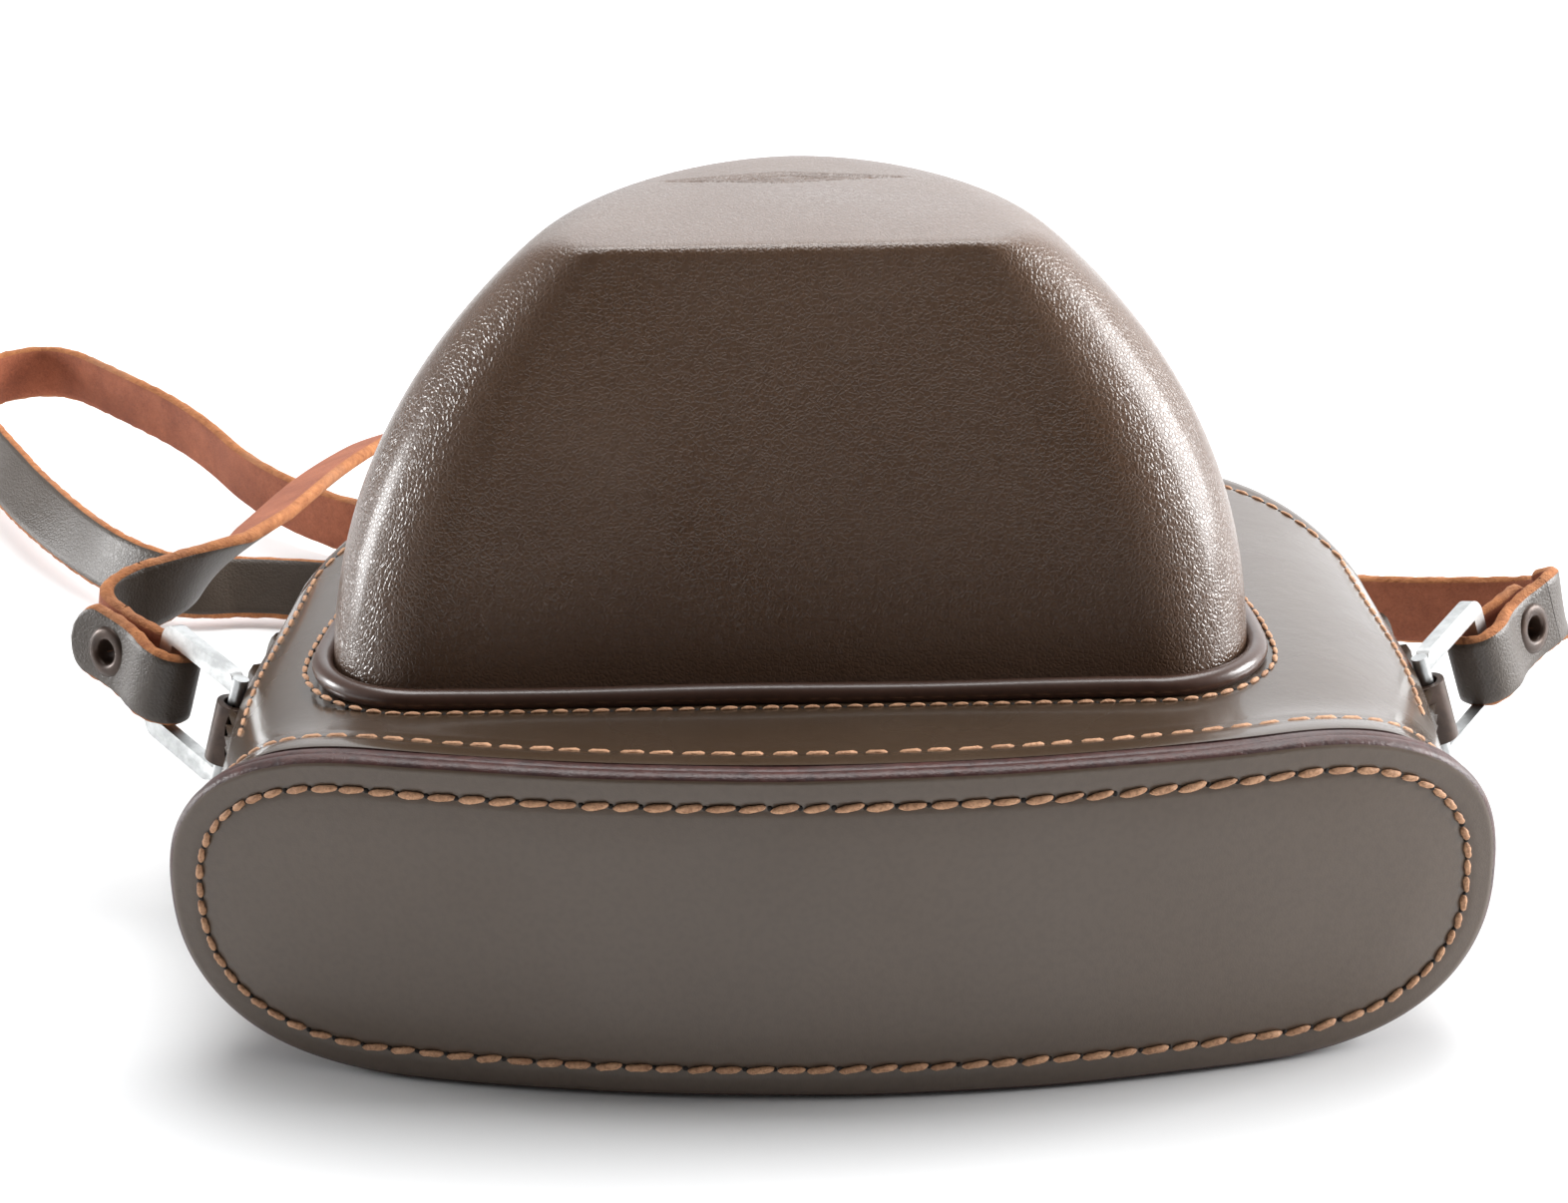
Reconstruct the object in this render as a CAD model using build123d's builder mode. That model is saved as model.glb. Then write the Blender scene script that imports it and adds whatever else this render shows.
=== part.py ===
"""Leather ever-ready camera case with its neck strap, closed and lying on its back.

Millimetres. +X is to the right as seen by someone facing the case's top panel, +Y runs from the
top panel to the base, +Z is up, the way the lens nose points. The floor is Z = 0.
"""

import os
from math import asin, cos, radians, sin

from build123d import *

os.makedirs("parts", exist_ok=True)

# ---- driving dimensions ----
RIM_WIDTH = 150.0
RIM_HEIGHT = 39.5
PANEL_BOW = 14.0  # how far the middle of the top panel stands out from its ends
LAYER = 2.4  # each of the two layers of the top panel
TOP_Y = -53.0  # the middle of the top panel's outer face
BASE_Y = 50.0  # the outer face of the base

WALL_WIDTH = 148.0
WALL_LOW = 3.0
WALL_HIGH = 37.3
LEATHER = 2.3
FIT = 0.3  # between the cover and the shell inside it
SHELL_LEATHER = 2.0
LINING = 0.6
CORNER_Y = 8.0  # where the round far corners of the case begin
CORNER_R = 47.5
WALL_END_Y = 46.0
WING_Z = 30.0  # the lower edge of the cover's side wings
COLLAR_Y = -25.0  # the cover goes all round the case up to here
SHELL_TOP_Y = -24.4  # the shell begins just past the cover's collar

NOSE_X = -4.6
NOSE_SECTIONS = [  # height, half width, near edge, far edge, corner radius
    (35.0, 54.0, -26.5, 43.0, 12.0),
    (50.0, 52.6, -22.8, 43.0, 14.0),
    (62.0, 48.6, -19.9, 42.5, 16.0),
    (72.0, 42.0, -17.6, 40.5, 16.0),
    (81.0, 34.0, -15.6, 37.5, 14.0),
    (86.0, 28.0, -14.2, 34.5, 10.0),
    (88.0, 23.4, -12.0, 31.0, 8.0),
]
BEAD = 2.1

SCREW_Z = 20.2
SCREW_NECK_R = 5.0
TRIPOD_R = 3.175  # a 1/4 inch thread
HEAD_R = 10.0
FERRULE_R = 6.5

HINGE_FLAP_Z = 31.5
HINGE_LEATHER = 1.2
HINGE_HALF_WIDTH = 44.0

TAB_WIDTH = 16.0
TAB_LOW = 1.3
TAB_HIGH = 2.7
TAB_HINGE_Y = -19.0
SNAP_Y = -29.0

RING_X = 74.6
RING_Y = -4.0
RING_Z = 24.0
RING_TILT = 17.0
RING_ANGLES = {"left": 44.0, "right": 52.0}  # at rest, from straight out towards the base
RING_LONG = 15.5
RING_OUT = 15.5
RING_BAR = 2.4
RING_THICK = 1.8
BAR_R = 1.0
BARREL_BORE_R = 1.4
BARREL_R = 2.3
BARREL_HALF = 4.0
CLIP_STEP = 3.4  # from the shell's surface to the ring's axis

STRAP_WIDTH = 10.0
STRAP_THICK = 2.0
STRAP_END_ANGLES = {"left": 36.0, "right": 44.0}
STRAP_LEG = 13.8
EYELET_AT = 8.5
EYELET_HOLE_R = 1.5
STRAP_HIGH_Z = 15.4
STRAP_FLOOR_Z = 5.1
STRAP_LEFT_ROUTE = [(-99, 22), (-90, 34), (-84, 56), (-79, 90), (-68, 126), (-38, 150), (-2, 156)]
STRAP_FLOOR_ROUTE = [
    (2, 155), (36, 152), (58, 134), (50, 112), (14, 106), (-30, 108), (-76, 118), (-108, 154),
    (-138, 184), (-158, 176), (-148, 144), (-124, 110), (-92, 94), (-50, 82), (-6, 71), (34, 66),
]
STRAP_RIGHT_ROUTE = [(38, 68), (60, 58), (80, 48), (95, 42), (103, 32), (96, 22)]

mid_z = (WALL_LOW + WALL_HIGH) / 2
bow_radius = ((RIM_WIDTH / 2) ** 2 + PANEL_BOW**2) / (2 * PANEL_BOW)
bow_centre_y = TOP_Y + bow_radius
shell_gap = LEATHER + FIT
lining_gap = shell_gap + SHELL_LEATHER
cavity_gap = lining_gap + LINING


def bow_y(x, depth):
    """Where the top panel's curved layer boundary, depth inside its outer face, is at x."""
    return bow_centre_y - ((bow_radius - depth) ** 2 - x**2) ** 0.5


def slot_section(width, height, middle):
    """A rounded section across Y, centred at the height middle."""
    with BuildSketch(Plane(origin=(0, 0, middle), x_dir=(1, 0, 0), z_dir=(0, 1, 0))) as section:
        SlotOverall(width, height)
    return section.sketch


def case_section(inset):
    """The case's rounded section, in from the cover's outer face by inset."""
    return slot_section(WALL_WIDTH - 2 * inset, WALL_HIGH - WALL_LOW - 2 * inset, mid_z)


def shield(half_width, near_y, end_y):
    """The case's outline from the front: straight sides, then round far corners."""
    turn = asin((end_y - CORNER_Y) / CORNER_R)
    drop = CORNER_R * (1 - cos(turn))
    bend = turn / 2
    mid_x = half_width - CORNER_R * (1 - cos(bend))
    mid_y = CORNER_Y + CORNER_R * sin(bend)
    with BuildSketch() as outline:
        with BuildLine():
            Line((-half_width, near_y), (half_width, near_y))
            Line((half_width, near_y), (half_width, CORNER_Y))
            ThreePointArc((half_width, CORNER_Y), (mid_x, mid_y), (half_width - drop, end_y))
            Line((half_width - drop, end_y), (-half_width + drop, end_y))
            ThreePointArc(
                (-half_width + drop, end_y), (-mid_x, mid_y), (-half_width, CORNER_Y)
            )
            Line((-half_width, CORNER_Y), (-half_width, near_y))
        make_face()
    return outline.sketch


def bow_band(outer_depth, inner_depth, half_width):
    """The strip between two of the top panel's curved layer boundaries."""
    with BuildSketch() as band:
        with BuildLine():
            outer = ThreePointArc(
                (-half_width, bow_y(half_width, outer_depth)),
                (0, bow_y(0, outer_depth)),
                (half_width, bow_y(half_width, outer_depth)),
            )
            inner = ThreePointArc(
                (-half_width, bow_y(half_width, inner_depth)),
                (0, bow_y(0, inner_depth)),
                (half_width, bow_y(half_width, inner_depth)),
            )
            Line(outer @ 0, inner @ 0)
            Line(outer @ 1, inner @ 1)
        make_face()
    return band.sketch


def d_outline(section, inset, level):
    """One level of the nose: straight near side, round far side."""
    _, half, near, far, corner = section
    half -= inset
    near += inset
    far -= inset
    corner = max(corner - inset, 3.0)
    bend = corner * (1 - 0.5**0.5)
    with BuildSketch(Plane.XY.offset(level)) as outline:
        with BuildLine():
            Line((NOSE_X - half + corner, near), (NOSE_X + half - corner, near))
            ThreePointArc(
                (NOSE_X + half - corner, near),
                (NOSE_X + half - bend, near + bend),
                (NOSE_X + half, near + corner),
            )
            ThreePointArc(
                (NOSE_X + half, near + corner), (NOSE_X, far), (NOSE_X - half, near + corner)
            )
            ThreePointArc(
                (NOSE_X - half, near + corner),
                (NOSE_X - half + bend, near + bend),
                (NOSE_X - half + corner, near),
            )
        make_face()
    return outline.sketch


def nose_levels(inset, drop):
    """The nose's sections, inset from its outer face and lowered by drop at its front."""
    last = len(NOSE_SECTIONS) - 1
    return [
        d_outline(section, inset, section[0] - drop * number / last)
        for number, section in enumerate(NOSE_SECTIONS)
    ]


def shell_form(inset, end_y):
    """The lower half's solid form, in from the cover's outer face by inset."""
    with BuildPart() as form:
        extrude(case_section(inset), amount=100, both=True)
        extrude(
            shield(WALL_WIDTH / 2 + 3.1 - inset, SHELL_TOP_Y, end_y),
            amount=RIM_HEIGHT,
            mode=Mode.INTERSECT,
        )
    return form.part


# ---- the cover: top panel, front wall and nose ----

rim_section = slot_section(RIM_WIDTH, RIM_HEIGHT, RIM_HEIGHT / 2)

with BuildPart() as top_panel:
    extrude(bow_band(0, LAYER, RIM_WIDTH / 2 + 1), amount=RIM_HEIGHT)
    extrude(rim_section, amount=100, both=True, mode=Mode.INTERSECT)

with BuildPart() as panel_board:
    extrude(bow_band(LAYER, 2 * LAYER, RIM_WIDTH / 2 + 1), amount=RIM_HEIGHT)
    extrude(rim_section, amount=100, both=True, mode=Mode.INTERSECT)

with BuildPart() as panel_lining:
    extrude(bow_band(2 * LAYER, 2 * LAYER + LINING, WALL_WIDTH / 2), amount=RIM_HEIGHT)
    extrude(case_section(LEATHER + 0.1), amount=100, both=True, mode=Mode.INTERSECT)

with BuildPart() as cover_wall:
    extrude(case_section(0), amount=100, both=True)
    extrude(case_section(LEATHER), amount=101, both=True, mode=Mode.SUBTRACT)
    extrude(shield(WALL_WIDTH / 2, TOP_Y, BASE_Y), amount=RIM_HEIGHT, mode=Mode.INTERSECT)
    extrude(bow_band(-20, 2 * LAYER, RIM_WIDTH / 2 + 5), amount=RIM_HEIGHT, mode=Mode.SUBTRACT)
    with BuildSketch(Plane.YZ):
        with BuildLine():
            Polyline(
                (COLLAR_Y, WING_Z), (BASE_Y + 5, WING_Z), (BASE_Y + 5, -1), (COLLAR_Y, -1),
                close=True,
            )
        make_face()
    extrude(amount=100, both=True, mode=Mode.SUBTRACT)
    extrude(d_outline(NOSE_SECTIONS[0], -0.1, mid_z), amount=30, mode=Mode.SUBTRACT)
    with Locations((0, SNAP_Y, WALL_LOW)):
        Cylinder(1.9, 12, mode=Mode.SUBTRACT)

with BuildPart() as nose:
    loft(nose_levels(0, 0), ruled=True)
    loft(nose_levels(LEATHER, LEATHER), ruled=True, mode=Mode.SUBTRACT)

with BuildPart() as nose_lining:
    loft(nose_levels(LEATHER + 0.05, LEATHER + 0.05), ruled=True)
    loft(nose_levels(LEATHER + LINING, LEATHER + LINING), ruled=True, mode=Mode.SUBTRACT)

with BuildPart() as nose_bead:
    extrude(d_outline(NOSE_SECTIONS[0], -BEAD, WALL_HIGH), amount=BEAD)
    extrude(d_outline(NOSE_SECTIONS[0], -0.1, WALL_HIGH), amount=BEAD, mode=Mode.SUBTRACT)

with BuildPart() as snap_stud:
    with Locations((0, SNAP_Y, WALL_LOW - 1.4)):
        Cylinder(1.8, 3.7, align=(Align.CENTER, Align.CENTER, Align.MIN))
    with Locations((0, SNAP_Y, WALL_LOW + LEATHER)):
        Cylinder(3.5, 0.7, align=(Align.CENTER, Align.CENTER, Align.MIN))

# ---- the hinge: a leather strip from the front wall over the base's front edge ----

with BuildPart() as hinge_strip:
    with BuildSketch(Plane.YZ):
        with BuildLine():
            Polyline(
                (BASE_Y - 3.5, WALL_HIGH), (BASE_Y, WALL_HIGH), (BASE_Y, HINGE_FLAP_Z),
                (BASE_Y + HINGE_LEATHER, HINGE_FLAP_Z),
                (BASE_Y + HINGE_LEATHER, WALL_HIGH + HINGE_LEATHER),
                (BASE_Y - 3.5, WALL_HIGH + HINGE_LEATHER), close=True,
            )
        make_face()
    extrude(amount=HINGE_HALF_WIDTH, both=True)

# ---- the lower half: shell, lining and base ----

with BuildPart() as shell_cuts:
    with BuildSketch(Plane.XY.offset(mid_z)):
        with BuildLine():
            Polyline((-56, -60), (56, -60), (44, 26), (-44, 26), close=True)
        make_face()
    extrude(amount=30)
    with BuildSketch(Plane(origin=(0, 0, SCREW_Z), x_dir=(1, 0, 0), z_dir=(0, 1, 0))):
        Circle(FERRULE_R + 0.05)
    extrude(amount=100)

shell_outer = shell_form(shell_gap, WALL_END_Y)
shell_inner = shell_form(lining_gap, WALL_END_Y - SHELL_LEATHER)
cavity = shell_form(cavity_gap, WALL_END_Y - SHELL_LEATHER - LINING)

with BuildPart() as lower_shell:
    add(shell_outer)
    add(shell_inner, mode=Mode.SUBTRACT)
    add(shell_cuts.part, mode=Mode.SUBTRACT)

with BuildPart() as shell_lining:
    add(shell_inner)
    add(cavity, mode=Mode.SUBTRACT)
    add(shell_cuts.part, mode=Mode.SUBTRACT)

base_high = WALL_HIGH - shell_gap
base_mid = base_high / 2
base_half = WALL_WIDTH / 2 + 3.1 - shell_gap - CORNER_R * (
    1 - (1 - ((WALL_END_Y - CORNER_Y) / CORNER_R) ** 2) ** 0.5
)
base_plane = Plane(origin=(0, WALL_END_Y, base_mid), x_dir=(1, 0, 0), z_dir=(0, 1, 0))
screw_plane = Plane(origin=(0, WALL_END_Y, SCREW_Z), x_dir=(1, 0, 0), z_dir=(0, 1, 0))

with BuildPart() as base_board:
    with BuildSketch(base_plane):
        RectangleRounded(2 * base_half + 4, base_high, 6)
    extrude(amount=2)
    with BuildSketch(screw_plane):
        Circle(FERRULE_R + 0.05)
    extrude(amount=2, mode=Mode.SUBTRACT)

with BuildPart() as base_cover:
    with BuildSketch(base_plane.offset(2)):
        RectangleRounded(2 * base_half + 4, base_high, 6)
    extrude(amount=2)
    with BuildSketch(screw_plane.offset(2)):
        Circle(FERRULE_R + 0.05)
    extrude(amount=2, mode=Mode.SUBTRACT)

with BuildPart() as ferrule:
    with BuildSketch(screw_plane.offset(-SHELL_LEATHER - LINING - 1)):
        Circle(9)
        Circle(SCREW_NECK_R + 0.4, mode=Mode.SUBTRACT)
    extrude(amount=1)
    with BuildSketch(screw_plane.offset(-SHELL_LEATHER - LINING)):
        Circle(FERRULE_R)
        Circle(SCREW_NECK_R + 0.4, mode=Mode.SUBTRACT)
    extrude(amount=4 + SHELL_LEATHER + LINING)

# ---- the retaining screw that holds the camera, with its own tripod thread ----

with BuildPart() as retaining_screw:
    with BuildSketch(screw_plane.offset(4.3)):
        Circle(HEAD_R)
        with PolarLocations(HEAD_R + 0.25, 36):
            Circle(0.55, mode=Mode.SUBTRACT)
    extrude(amount=2.7)
    with BuildSketch(screw_plane.offset(4.3)):
        Circle(SCREW_NECK_R)
    extrude(amount=-9.3)
    with BuildSketch(screw_plane.offset(-5)):
        Circle(TRIPOD_R)
    extrude(amount=-5.5)
    with BuildSketch(screw_plane.offset(7)):
        Circle(TRIPOD_R)
    extrude(amount=-7, mode=Mode.SUBTRACT)

with BuildPart() as screw_clip:
    with BuildSketch(screw_plane.offset(-SHELL_LEATHER - LINING - 2)):
        Circle(7.5)
        Circle(SCREW_NECK_R, mode=Mode.SUBTRACT)
    extrude(amount=0.7)

# ---- the rear closing tab with its snap ----

with BuildPart() as tab_anchor:
    with BuildSketch(Plane.XY.offset(TAB_LOW)):
        with Locations((0, (TAB_HINGE_Y + 0.4 - 6) / 2)):
            Rectangle(TAB_WIDTH, -6 - TAB_HINGE_Y - 0.4)
    extrude(amount=WALL_LOW + shell_gap - TAB_LOW)
    with Locations((0, -11, 0)):
        Cylinder(1.6, 20, mode=Mode.SUBTRACT)

with BuildPart() as tab_rivet:
    with Locations((0, -11, 0.4)):
        Cylinder(4, 0.9, align=(Align.CENTER, Align.CENTER, Align.MIN))
    with Locations((0, -11, 1.3)):
        Cylinder(1.6, WALL_LOW + shell_gap - 1.3, align=(Align.CENTER, Align.CENTER, Align.MIN))

with BuildPart() as closing_tab:
    with BuildSketch(Plane.XY.offset(TAB_LOW)):
        with BuildLine():
            Line((-TAB_WIDTH / 2, TAB_HINGE_Y), (TAB_WIDTH / 2, TAB_HINGE_Y))
            Line((TAB_WIDTH / 2, TAB_HINGE_Y), (TAB_WIDTH / 2, SNAP_Y + 1))
            ThreePointArc(
                (TAB_WIDTH / 2, SNAP_Y + 1), (0, SNAP_Y - 7), (-TAB_WIDTH / 2, SNAP_Y + 1)
            )
            Line((-TAB_WIDTH / 2, SNAP_Y + 1), (-TAB_WIDTH / 2, TAB_HINGE_Y))
        make_face()
        with Locations((0, SNAP_Y)):
            Circle(2.7, mode=Mode.SUBTRACT)
    extrude(amount=TAB_HIGH - TAB_LOW)

with BuildPart() as snap_cap:
    with BuildSketch(Plane.XY.offset(TAB_LOW)):
        with Locations((0, SNAP_Y)):
            Circle(5.5)
    extrude(amount=-1.1)
    fillet(snap_cap.faces().sort_by(Axis.Z)[0].edges(), 0.8)
    with BuildSketch(Plane.XY.offset(TAB_LOW)):
        with Locations((0, SNAP_Y)):
            Circle(2.6)
    extrude(amount=-0.5, mode=Mode.SUBTRACT)

# ---- rings, their clips and the strap's ends, on each side ----

tilt = radians(RING_TILT)
parts = {}

for side, sign in (("left", -1), ("right", 1)):
    centre = Vector(sign * RING_X, RING_Y, RING_Z)
    out = Vector(sign * cos(tilt), 0, sin(tilt))
    axis = Vector(-sign * sin(tilt), 0, cos(tilt))
    along = Vector(0, 1, 0)
    turn = radians(RING_ANGLES[side])
    ring_out = out * cos(turn) + along * sin(turn)
    foot = centre - out * CLIP_STEP
    clip_plane = Plane(origin=centre - axis * BARREL_HALF, x_dir=out, z_dir=axis)
    width = clip_plane.y_dir

    with BuildPart() as lug_clip:
        with BuildSketch(clip_plane):
            Circle(BARREL_R)
            with Locations((-CLIP_STEP / 2, 0)):
                Rectangle(CLIP_STEP, 2 * BARREL_R)
            with Locations((-CLIP_STEP + 0.5, 0)):
                Rectangle(1.0, 20)
            Circle(BARREL_BORE_R, mode=Mode.SUBTRACT)
        extrude(amount=2 * BARREL_HALF)
        with BuildSketch(Plane(origin=foot, x_dir=width, z_dir=out)):
            with Locations((-7, 0), (7, 0)):
                Circle(1.2)
        extrude(amount=3, both=True, mode=Mode.SUBTRACT)
    parts["lug_clip_" + side] = lug_clip.part

    with BuildPart() as clip_rivets:
        with BuildSketch(Plane(origin=foot, x_dir=width, z_dir=out)):
            with Locations((-7, 0), (7, 0)):
                Circle(1.2)
        extrude(amount=1.0)
        with BuildSketch(Plane(origin=foot + out * 1.0, x_dir=width, z_dir=out)):
            with Locations((-7, 0), (7, 0)):
                Circle(2.1)
        extrude(amount=0.8)
    parts["clip_rivets_" + side] = clip_rivets.part

    ring_plane = Plane(origin=centre, x_dir=ring_out, z_dir=ring_out.cross(axis))
    with BuildPart() as ring:
        with BuildSketch(ring_plane):
            with Locations((RING_OUT / 2, 0)):
                RectangleRounded(RING_OUT, RING_LONG, 2.2)
            with Locations(((RING_OUT - RING_BAR) / 2, 0)):
                Rectangle(RING_OUT - RING_BAR, RING_LONG - 2 * RING_BAR, mode=Mode.SUBTRACT)
        extrude(amount=RING_THICK / 2, both=True)
        with BuildSketch(Plane(origin=centre - axis * (RING_LONG / 2 - 0.4), z_dir=axis)):
            Circle(BAR_R)
        extrude(amount=RING_LONG - 0.8)
    parts["ring_" + side] = ring.part

    bar = centre + ring_out * (RING_OUT - RING_BAR / 2)
    lean = radians(STRAP_END_ANGLES[side])
    leg_out = out * cos(lean) + along * sin(lean)
    end_plane = Plane(origin=bar - axis * (STRAP_WIDTH / 2), x_dir=leg_out, z_dir=axis)
    hole_plane = Plane(origin=bar + leg_out * EYELET_AT, x_dir=axis, z_dir=end_plane.y_dir)
    loop_r = 1.75
    with BuildPart() as strap_end:
        with BuildSketch(end_plane):
            Circle(loop_r + STRAP_THICK)
            with Locations((STRAP_LEG / 2, 0)):
                Rectangle(STRAP_LEG, 2 * (loop_r + STRAP_THICK))
            Circle(loop_r, mode=Mode.SUBTRACT)
            with Locations((STRAP_LEG / 2, 0)):
                Rectangle(STRAP_LEG, 2 * loop_r, mode=Mode.SUBTRACT)
        extrude(amount=STRAP_WIDTH)
        with BuildSketch(hole_plane):
            Circle(2.3)
        extrude(amount=10, both=True, mode=Mode.SUBTRACT)
    parts["strap_end_" + side] = strap_end.part

    with BuildPart() as eyelet:
        with BuildSketch(hole_plane):
            Circle(2.3)
            Circle(EYELET_HOLE_R, mode=Mode.SUBTRACT)
        extrude(amount=loop_r + STRAP_THICK, both=True)
        for face in (1, -1):
            with BuildSketch(hole_plane.offset(face * (loop_r + STRAP_THICK))):
                Circle(3.3)
                Circle(EYELET_HOLE_R, mode=Mode.SUBTRACT)
            extrude(amount=face * 0.6)
    parts["eyelet_" + side] = eyelet.part

# ---- the neck strap: runs and tangent arcs, standing on its edge ----


def corner_radii(route):
    """The largest arc at each corner that its two runs allow."""
    radii = []
    for before, here, after in zip(route, route[1:], route[2:]):
        a = Vector(*here) - Vector(*before)
        b = Vector(*after) - Vector(*here)
        half_turn = radians(a.get_angle(b)) / 2
        radii.append(0.45 * min(a.length, b.length) * cos(half_turn) / sin(half_turn))
    return radii


for name, route, height in (
    ("strap_left", STRAP_LEFT_ROUTE, STRAP_HIGH_Z),
    ("strap_floor", STRAP_FLOOR_ROUTE, STRAP_FLOOR_Z),
    ("strap_right", STRAP_RIGHT_ROUTE, STRAP_HIGH_Z),
):
    radii = corner_radii(route)
    with BuildPart() as strap:
        with BuildLine(Plane.XY.offset(height)) as path:
            centre_line = FilletPolyline(*route, radius=radii)
        start = Plane(origin=centre_line @ 0, x_dir=(0, 0, 1), z_dir=centre_line % 0)
        with BuildSketch(start):
            Rectangle(STRAP_WIDTH, STRAP_THICK)
        sweep(path=centre_line)
    print(name, "length", round(centre_line.length, 1), "radii", [round(r) for r in radii])
    print("  volume share", round(strap.part.volume / (20 * centre_line.length), 4))
    parts[name] = strap.part

parts["top_panel"] = top_panel.part
parts["panel_board"] = panel_board.part
parts["panel_lining"] = panel_lining.part
parts["cover_wall"] = cover_wall.part
parts["nose"] = nose.part
parts["nose_lining"] = nose_lining.part
parts["nose_bead"] = nose_bead.part
parts["snap_stud"] = snap_stud.part
parts["hinge_strip"] = hinge_strip.part
parts["lower_shell"] = lower_shell.part
parts["shell_lining"] = shell_lining.part
parts["base_board"] = base_board.part
parts["base_cover"] = base_cover.part
parts["ferrule"] = ferrule.part
parts["retaining_screw"] = retaining_screw.part
parts["screw_clip"] = screw_clip.part
parts["tab_anchor"] = tab_anchor.part
parts["tab_rivet"] = tab_rivet.part
parts["closing_tab"] = closing_tab.part
parts["snap_cap"] = snap_cap.part

for name, part in parts.items():
    part.label = name
    export_step(part, f"parts/{name}.step")
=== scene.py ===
"""Leather ever-ready camera case with its neck strap, lying on its back: looks built round the CAD."""

from math import cos, pi, radians, sin

import bmesh
import bpy
import numpy as np
from mathutils import Matrix, Vector


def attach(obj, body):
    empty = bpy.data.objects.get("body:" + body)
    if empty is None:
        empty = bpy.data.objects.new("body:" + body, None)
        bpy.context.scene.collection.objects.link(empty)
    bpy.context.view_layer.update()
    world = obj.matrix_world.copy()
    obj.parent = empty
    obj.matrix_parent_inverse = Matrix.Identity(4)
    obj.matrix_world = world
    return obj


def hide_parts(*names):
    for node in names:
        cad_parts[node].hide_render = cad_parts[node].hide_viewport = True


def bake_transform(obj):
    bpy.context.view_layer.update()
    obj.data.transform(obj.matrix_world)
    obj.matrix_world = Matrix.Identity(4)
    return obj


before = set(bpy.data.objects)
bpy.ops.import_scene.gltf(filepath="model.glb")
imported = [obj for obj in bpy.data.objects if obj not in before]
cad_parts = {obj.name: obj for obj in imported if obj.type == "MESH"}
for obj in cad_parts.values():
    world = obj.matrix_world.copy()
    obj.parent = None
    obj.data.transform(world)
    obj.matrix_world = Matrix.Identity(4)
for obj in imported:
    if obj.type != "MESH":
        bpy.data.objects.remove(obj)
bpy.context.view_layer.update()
MM = 0.001
random = np.random.default_rng(7)

# ---- sizes in millimetres, the same as the CAD's ----
RIM_HALF, RIM_HEIGHT, PANEL_BOW, LAYER, TOP_Y, BASE_Y = 75.0, 39.5, 14.0, 2.4, -53.0, 50.0
WALL_HALF, WALL_LOW, WALL_HIGH, LEATHER = 74.0, 3.0, 37.3, 2.3
CORNER_Y, CORNER_R, WING_Z, COLLAR_Y = 8.0, 47.5, 30.0, -25.0
MID_Z = (WALL_LOW + WALL_HIGH) / 2
BOW_R = (RIM_HALF**2 + PANEL_BOW**2) / (2 * PANEL_BOW)
NOSE_X, NOSE_HALF, NOSE_NEAR, NOSE_FAR = -4.7, 54.1, -26.5, 43.0
NOSE_TOP = 87.0
NOSE_FOOT = 34.9  # the nose's leather reaches this low inside the cover's hole
NOSE_SIDES = 280
STITCH_INSET, WALL_STITCH_INSET, FLAP_STITCH_INSET = 3.6, 4.8, 2.8
PANEL_PITCH, BEAD_PITCH, EDGE_PITCH = 3.4, 2.4, 2.6

# ---- camera ----
PIXELS_WIDE, FOCAL_PIXELS, SHIFT_PIXELS = 1572, 2800, 45
EYE = Vector((0.0, -0.3195, 0.1673))
PITCH, ROLL = radians(22), -0.018


def make_camera():
    """The photographer's view: looking down by PITCH, with the frame rolled and shifted."""
    ahead = Vector((0, cos(PITCH), -sin(PITCH)))
    up = Vector((0, sin(PITCH), cos(PITCH)))
    right = Vector((1, 0, 0))
    tilted_right = cos(ROLL) * right + sin(ROLL) * up
    tilted_up = -sin(ROLL) * right + cos(ROLL) * up
    data = bpy.data.cameras.new("camera")
    data.sensor_width = 36
    data.lens = FOCAL_PIXELS / PIXELS_WIDE * data.sensor_width
    data.shift_x = -SHIFT_PIXELS / PIXELS_WIDE
    data.clip_start = 0.01
    camera = bpy.data.objects.new("camera", data)
    columns = (tilted_right, tilted_up, -ahead)
    camera.matrix_world = Matrix.Translation(EYE) @ Matrix(columns).transposed().to_4x4()
    bpy.context.scene.collection.objects.link(camera)
    bpy.context.scene.camera = camera


make_camera()

# ---- materials ----


def new_material(name):
    material = bpy.data.materials.new(name)
    material.use_nodes = True
    tree = material.node_tree
    shader = tree.nodes["Principled BSDF"]
    place = tree.nodes.new("ShaderNodeTexCoord")
    return material, tree, shader, place.outputs["Object"]


def noise(tree, place, scale, detail=3.0, rough=0.55, distortion=0.0):
    node = tree.nodes.new("ShaderNodeTexNoise")
    node.inputs["Scale"].default_value = scale
    node.inputs["Detail"].default_value = detail
    node.inputs["Roughness"].default_value = rough
    node.inputs["Distortion"].default_value = distortion
    tree.links.new(place, node.inputs["Vector"])
    return node.outputs["Fac"]


def cells(tree, place, scale, feature="F1"):
    node = tree.nodes.new("ShaderNodeTexVoronoi")
    node.feature = feature
    node.inputs["Scale"].default_value = scale
    tree.links.new(place, node.inputs["Vector"])
    return node.outputs["Distance"]


def ramp(tree, value, stops):
    node = tree.nodes.new("ShaderNodeValToRGB")
    elements = node.color_ramp.elements
    while len(elements) < len(stops):
        elements.new(0.5)
    for element, (position, color) in zip(elements, stops):
        element.position = position
        element.color = (*color, 1)
    tree.links.new(value, node.inputs["Fac"])
    return node.outputs["Color"]


def spread(tree, value, low, high, new_low, new_high):
    node = tree.nodes.new("ShaderNodeMapRange")
    for key, number in zip(("From Min", "From Max", "To Min", "To Max"), (low, high, new_low, new_high)):
        node.inputs[key].default_value = number
    tree.links.new(value, node.inputs["Value"])
    return node.outputs["Result"]


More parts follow.
